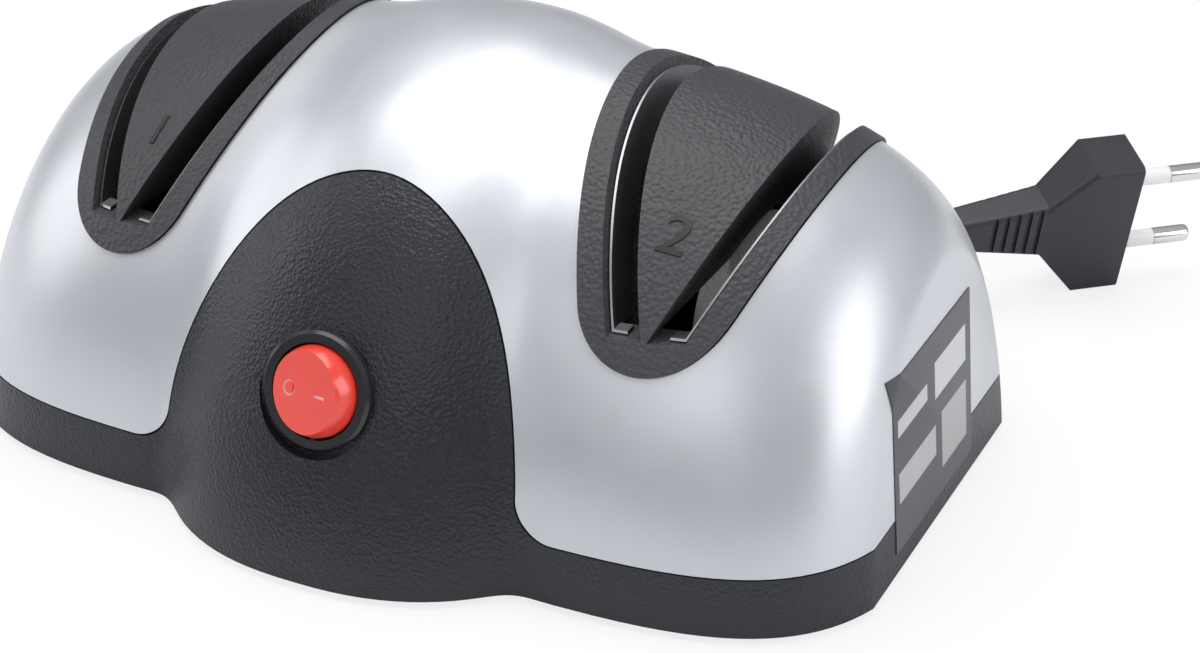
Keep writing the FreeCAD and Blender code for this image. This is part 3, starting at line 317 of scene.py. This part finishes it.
# %% [markdown]
# Step 5. Skins. A moulded piece has no knife edges: each one is rounded by a
# few tenths of a millimetre, and that line catches the light. The solid could
# be shaded as it is, but its triangles are loose. So each visible piece gets
# a skin, which is a copy with its points welded, shaded smooth up to its
# sharp edges. A bevel modifier then rounds those edges. The shell goes
# without, because on its finely divided creases the bevel leaves bright
# specks.

# %% Weld a copy of a solid
weld_distance = 0.000002
sliver_size = 0.000001
sharp_edge = math.radians(28.0)


def welded_mesh(node):
    """Welded copy of a solid's triangles, with sharp edges marked."""
    mesh = frame["nodes"][node].data.copy()
    mesh.name = node + "_skin"
    shape = bmesh.new()
    shape.from_mesh(mesh)
    bmesh.ops.remove_doubles(shape, verts=shape.verts, dist=weld_distance)
    bmesh.ops.dissolve_degenerate(shape, edges=shape.edges, dist=sliver_size)
    bmesh.ops.recalc_face_normals(shape, faces=shape.faces)
    for face in shape.faces:
        face.smooth = True
    for edge in shape.edges:
        joined = len(edge.link_faces) == 2
        edge.smooth = joined and edge.calc_face_angle(0.0) < sharp_edge
    shape.to_mesh(mesh)
    shape.free()
    if "custom_normal" in mesh.attributes:
        mesh.attributes.remove(mesh.attributes["custom_normal"])
    return mesh


# %% Make a skin from it
rounded_edge = math.radians(35.0)
mm = 0.001


def dress(skin, slot, material_name=None):
    """Gives a piece one material: the one named, else the one of its slot."""
    skin.data.materials.clear()
    skin.data.materials.append(materials[material_name or slot])


def make_skin(node, slot, edge_mm):
    """Smooth skin that stands for a solid, with a rounded edge."""
    skin = bpy.data.objects.new(node + "_skin", welded_mesh(node))
    scene.collection.objects.link(skin)
    if edge_mm > 0.0:
        bevel = skin.modifiers.new("edge", "BEVEL")
        bevel.width = edge_mm * mm
        bevel.segments = 2
        bevel.limit_method = "ANGLE"
        bevel.angle_limit = rounded_edge
        bevel.use_clamp_overlap = True
        bevel.harden_normals = True
    dress(skin, slot)
    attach(skin, body_of_node[node])
    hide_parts(node)
    return skin


# %% Skins of all visible pieces
skins = {}
for node, slot, edge_mm in [
    ("base", "black_plastic", 0.25),
    ("upper_shell", "silver_paint", 0.0),
    ("insert_1", "charcoal_plastic", 0.3),
    ("insert_2", "charcoal_plastic", 0.3),
    ("blade_guide_1_left", "spring_steel", 0.0),
    ("blade_guide_1_right", "spring_steel", 0.0),
    ("blade_guide_2_left", "spring_steel", 0.0),
    ("blade_guide_2_right", "spring_steel", 0.0),
    ("switch_body", "black_gloss", 0.2),
    ("switch_rocker", "red_gloss", 0.2),
    ("rubber_feet", "rubber_black", 0.3),
    ("coarse_wheel", "coarse_abrasive", 0.3),
    ("fine_wheel", "fine_abrasive", 0.3),
    ("cord_gland", "cord_black", 0.3),
    ("plug_body", "cord_black", 0.5),
    ("plug_pins", "nickel", 0.0),
    ("pin_sleeves", "sleeve_white", 0.1),
    ("rating_label", "label_grey", 0.0),
]:
    skins[node] = make_skin(node, slot, edge_mm)
print(len(skins), "skins")

# %% [markdown]
# Step 6. The marks of the switch. The rocker has an O and an I sunk into its
# face, filled with pale paint. Separate inlays would have to tilt with it, so
# the faces that lie in the two grooves are painted instead. To find them,
# their centres are carried back into the rocker's own upright frame.

# %% Paint the O and the I
panel_centre = Vector((0.0, -0.0623574, 0.0369))
panel_turn = math.radians(72.0)
pivot_depth = 0.0010
rest_tilt = math.radians(-13.0)
mark_offset = 0.0039
ring_radius = 0.0015
mark_half_width = 0.00032
bar_half_length = 0.0014
face_foot = 0.0015

rocker_frame = (
    Matrix.Translation(panel_centre)
    @ Matrix.Rotation(panel_turn, 4, "X")
    @ Matrix.Translation((0.0, 0.0, -pivot_depth))
    @ Matrix.Rotation(rest_tilt, 4, "Y")
).inverted()
rocker_mesh = skins["switch_rocker"].data
rocker_mesh.materials.append(materials["mark_pink"])
painted = 0
for face in rocker_mesh.polygons:
    spot = rocker_frame @ face.center
    on_ring = abs(math.hypot(spot.x + mark_offset, spot.y) - ring_radius) < mark_half_width
    on_bar = abs(spot.x - mark_offset) < bar_half_length and abs(spot.y) < mark_half_width
    if spot.z > face_foot and (on_ring or on_bar):
        face.material_index = 1
        painted += 1
print(painted, "faces of the marks painted")

# %% [markdown]
# Step 7. The digits. Each station is numbered on its wedge, 1 on the left for
# the coarse wheel and 2 on the right for the fine one. A flat digit would
# float over the crowned wedge or sink into it. So the text is turned into a
# mesh, cut finer, and each of its points is dropped onto the skin below it.

# %% A digit that follows a surface
digit_relief = 0.0002
digit_edge = 0.00005
search_from = 0.01
search_length = 0.03
wedge_normal = Vector((0.0, -0.62, 0.785)).normalized()
along = Vector((1.0, 0.0, 0.0))
upward = wedge_normal.cross(along)


def digit_mesh(word, size, lean):
    """Mesh of a digit, flat and centred on the origin."""
    text = bpy.data.curves.new("digit_" + word, "FONT")
    text.body = word
    text.size = size
    text.shear = lean
    text.extrude = digit_relief
    text.bevel_depth = digit_edge
    text.align_x = "CENTER"
    text.align_y = "CENTER"
    letter = bpy.data.objects.new("digit_maker", text)
    scene.collection.objects.link(letter)
    bpy.context.view_layer.update()
    depsgraph = bpy.context.evaluated_depsgraph_get()
    mesh = bpy.data.meshes.new_from_object(letter.evaluated_get(depsgraph))
    bpy.data.objects.remove(letter)
    return mesh


def make_digit(word, node, centre, size, lean):
    """Raised digit that follows the surface of a skin."""
    mesh = digit_mesh(word, size, lean)
    shape = bmesh.new()
    shape.from_mesh(mesh)
    bmesh.ops.subdivide_edges(shape, edges=shape.edges, cuts=1)
    bmesh.ops.triangulate(shape, faces=shape.faces)
    surface = BVHTree.FromObject(skins[node], bpy.context.evaluated_depsgraph_get())
    for vertex in shape.verts:
        flat = centre + along * vertex.co.x + upward * vertex.co.y
        hit = surface.ray_cast(flat + wedge_normal * search_from, -wedge_normal, search_length)
        ground = hit[0] if hit[0] is not None else flat
        vertex.co = ground + wedge_normal * vertex.co.z
    shape.to_mesh(mesh)
    shape.free()
    digit = bpy.data.objects.new("digit_" + word, mesh)
    scene.collection.objects.link(digit)
    dress(digit, "charcoal_plastic", "digit_black")
    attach(digit, "housing")
    print("digit", word, "has", len(mesh.polygons), "faces")


# %% The two digits
make_digit("1", "insert_1", Vector((-0.0562, -0.0283, 0.0643)), size=0.0095, lean=0.15)
make_digit("2", "insert_2", Vector((0.0567, -0.0274, 0.0650)), size=0.0115, lean=0.10)

# %% [markdown]
# Step 8. The parts inside. The motor, its wiring and the screws are covered
# by the housing. They could have skins too, but nobody sees their edges, so
# they keep their solids and only take a material.

# %% Materials for the inner parts
slot_of_node = {part["node"]: part["material_slot"] for part in frame["record"]["subparts"]}
inside = [node for node in frame["nodes"] if node not in skins and node not in ("cord", "cord_coil")]
for node in inside:
    solid = frame["nodes"][node]
    for holder in solid.material_slots:
        holder.link = "OBJECT"
        holder.material = materials[slot_of_node[node]]
print(len(inside), "inner parts")

# %% [markdown]
# Step 9. The cord. It leaves the rear through its strain relief, lies in a
# coil of two layers on the table behind the housing, and comes back up to the
# plug. A mesh swept by hand would kink at each corner, so one smooth curve
# with a round section runs through all of it. The points of the coil lie a
# little outside its circle, because such a curve cuts its corners.

# %% Points of the coil
cord_radius = 0.0026
coil_centre = Vector((-0.0184, 0.12535, 0.0027))
coil_outer_radius = 0.0331
coil_pitch = 0.0061
coil_layer_step = 0.006
coil_turns = 2
crossing_turns = 0.5
points_per_turn = 12


def coil_points():
    """Points of the coil: in along the table, up, and out on top."""
    middle = coil_turns + crossing_turns / 2.0
    widen = 2.0 / (1.0 + math.cos(math.pi / points_per_turn))
    points = []
    for i in range(int((2 * coil_turns + crossing_turns) * points_per_turn) + 1):
        done = i / points_per_turn
        radius = (coil_outer_radius - coil_pitch * (middle - abs(done - middle))) * widen
        climb = min(max(done - coil_turns, 0.0), crossing_turns) / crossing_turns
        angle = math.pi - 2.0 * math.pi * done
        height = coil_layer_step * (1.0 - math.cos(math.pi * climb)) / 2.0
        points.append(coil_centre + Vector((radius * math.cos(angle), radius * math.sin(angle), height)))
    return points


# %% Route from the strain relief to the plug
route = [
    Vector((-0.0520, 0.0801, 0.0080)),
    Vector((-0.0520, 0.0926, 0.0080)),
    Vector((-0.0521, 0.1077, 0.0027)),
]
route += coil_points()
route += [
    Vector((0.0151, 0.1137, 0.0087)),
    Vector((0.0150, 0.1040, 0.0090)),
    Vector((0.0180, 0.0950, 0.0100)),
    Vector((0.0275, 0.0810, 0.0125)),
    Vector((0.0430, 0.0750, 0.0155)),
    Vector((0.0595, 0.0782, 0.01848)),
    Vector((0.072784, 0.089522, 0.01848)),
]
print(len(route), "points in the cord")

# %% The cord itself
cord_curve = bpy.data.curves.new("mains_cord", "CURVE")
cord_curve.dimensions = "3D"
cord_curve.bevel_depth = cord_radius
cord_curve.bevel_resolution = 5
cord_curve.resolution_u = 6
cord_curve.use_fill_caps = True
line = cord_curve.splines.new("NURBS")
line.points.add(len(route) - 1)
for spot, point in zip(line.points, route):
    spot.co = (point.x, point.y, point.z, 1.0)
line.order_u = 3
line.use_endpoint_u = True
mains_cord = bpy.data.objects.new("mains_cord", cord_curve)
scene.collection.objects.link(mains_cord)
cord_curve.materials.append(materials["cord_black"])
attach(mains_cord, "housing")
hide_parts("cord", "cord_coil")
print("cord", round(2.0 * cord_radius / mm, 1), "mm thick")

# %% [markdown]
# Step 10. The table. A sheet of pale card lies under the real sharpener in a
# studio. A white floor alone would turn grey away from the lamps, so most of
# what the camera sees of it glows softly white, and the rest keeps the shadow.

# %% The pale floor
floor_half_size = 3.0
floor_glow_share = 0.8
white = (1.0, 1.0, 1.0, 1.0)
floor_mesh = bpy.data.meshes.new("floor")
floor_shape = bmesh.new()
bmesh.ops.create_grid(floor_shape, x_segments=1, y_segments=1, size=floor_half_size)
floor_shape.to_mesh(floor_mesh)
floor_shape.free()
floor = bpy.data.objects.new("floor", floor_mesh)
scene.collection.objects.link(floor)
floor_material = bpy.data.materials.new("floor")
floor_material.use_nodes = True
floor_tree = floor_material.node_tree
floor_link = floor_tree.links.new
floor_surface = floor_tree.nodes["Principled BSDF"]
floor_surface.inputs["Base Color"].default_value = (0.90, 0.90, 0.91, 1.0)
floor_surface.inputs["Roughness"].default_value = 0.8
floor_surface.inputs["Specular IOR Level"].default_value = 0.1
glow = add_node(floor_tree, "ShaderNodeEmission", Color=white, Strength=1.0)
floor_rays = floor_tree.nodes.new("ShaderNodeLightPath")
share = floor_tree.nodes.new("ShaderNodeMath")
share.operation = "MULTIPLY"
share.inputs[1].default_value = floor_glow_share
floor_mix = floor_tree.nodes.new("ShaderNodeMixShader")
floor_link(floor_rays.outputs["Is Camera Ray"], share.inputs[0])
floor_link(share.outputs[0], floor_mix.inputs[0])
floor_link(floor_surface.outputs[0], floor_mix.inputs[1])
floor_link(glow.outputs[0], floor_mix.inputs[2])
floor_link(floor_mix.outputs[0], floor_tree.nodes["Material Output"].inputs["Surface"])
floor_mesh.materials.append(floor_material)
print("floor", 2.0 * floor_half_size, "m wide")

# %% [markdown]
# Step 11. The light. Satin paint shows its shape by broad soft highlights, so
# the lamps are large boxes: one overhead, one at each side and a weak one in
# front. A single sun would give the shell hard spots instead.


# %% The soft boxes
def soft_box(name, place, target, size, power):
    """Large rectangular lamp that faces a point."""
    data = bpy.data.lights.new(name, "AREA")
    data.shape = "RECTANGLE"
    data.size = size[0]
    data.size_y = size[1]
    data.energy = power
    lamp = bpy.data.objects.new(name, data)
    direction = Vector(target) - Vector(place)
    lamp.rotation_euler = direction.to_track_quat("-Z", "Y").to_euler()
    lamp.location = place
    scene.collection.objects.link(lamp)
    print(name, power, "W")


soft_box("top_box", (-0.15, 0.10, 1.1), (0.0, 0.0, 0.0), (0.9, 0.9), 8.0)
soft_box("left_box", (-0.9, -0.25, 0.45), (0.0, 0.0, 0.05), (0.6, 0.7), 2.4)
soft_box("right_box", (0.95, 0.05, 0.40), (0.0, 0.0, 0.05), (0.5, 0.7), 3.4)
soft_box("front_box", (0.10, -1.0, 0.75), (0.0, 0.0, 0.04), (0.7, 0.5), 1.4)

# %% [markdown]
# Step 12. The surroundings. A plain white world would wash the shell out, as
# it reflects all of it. So the light of the world runs from a dim blue grey
# low down to a pale sky overhead, and only the camera sees it as white.

# %% The world
sky_strength = 0.66
sky_top = 0.9
world = bpy.data.worlds.new("studio")
world.use_nodes = True
scene.world = world
tree = world.node_tree
tree.nodes.clear()
world_link = tree.links.new
output = tree.nodes.new("ShaderNodeOutputWorld")
heading = tree.nodes.new("ShaderNodeTexCoord")
height = tree.nodes.new("ShaderNodeSeparateXYZ")
sky = tree.nodes.new("ShaderNodeValToRGB")
sky.color_ramp.elements[0].position = 0.0
sky.color_ramp.elements[0].color = (0.26, 0.275, 0.31, 1.0)
sky.color_ramp.elements[1].position = sky_top
sky.color_ramp.elements[1].color = (0.80, 0.82, 0.86, 1.0)
world_link(heading.outputs["Generated"], height.inputs["Vector"])
world_link(height.outputs["Z"], sky.inputs["Fac"])
lit = add_node(tree, "ShaderNodeBackground", Strength=sky_strength)
world_link(sky.outputs["Color"], lit.inputs["Color"])
seen = add_node(tree, "ShaderNodeBackground", Color=white, Strength=1.0)
rays = tree.nodes.new("ShaderNodeLightPath")
choose = tree.nodes.new("ShaderNodeMixShader")
world_link(rays.outputs["Is Camera Ray"], choose.inputs[0])
world_link(lit.outputs[0], choose.inputs[1])
world_link(seen.outputs[0], choose.inputs[2])
world_link(choose.outputs[0], output.inputs["Surface"])
scene.view_settings.view_transform = "Standard"
print("studio ready")
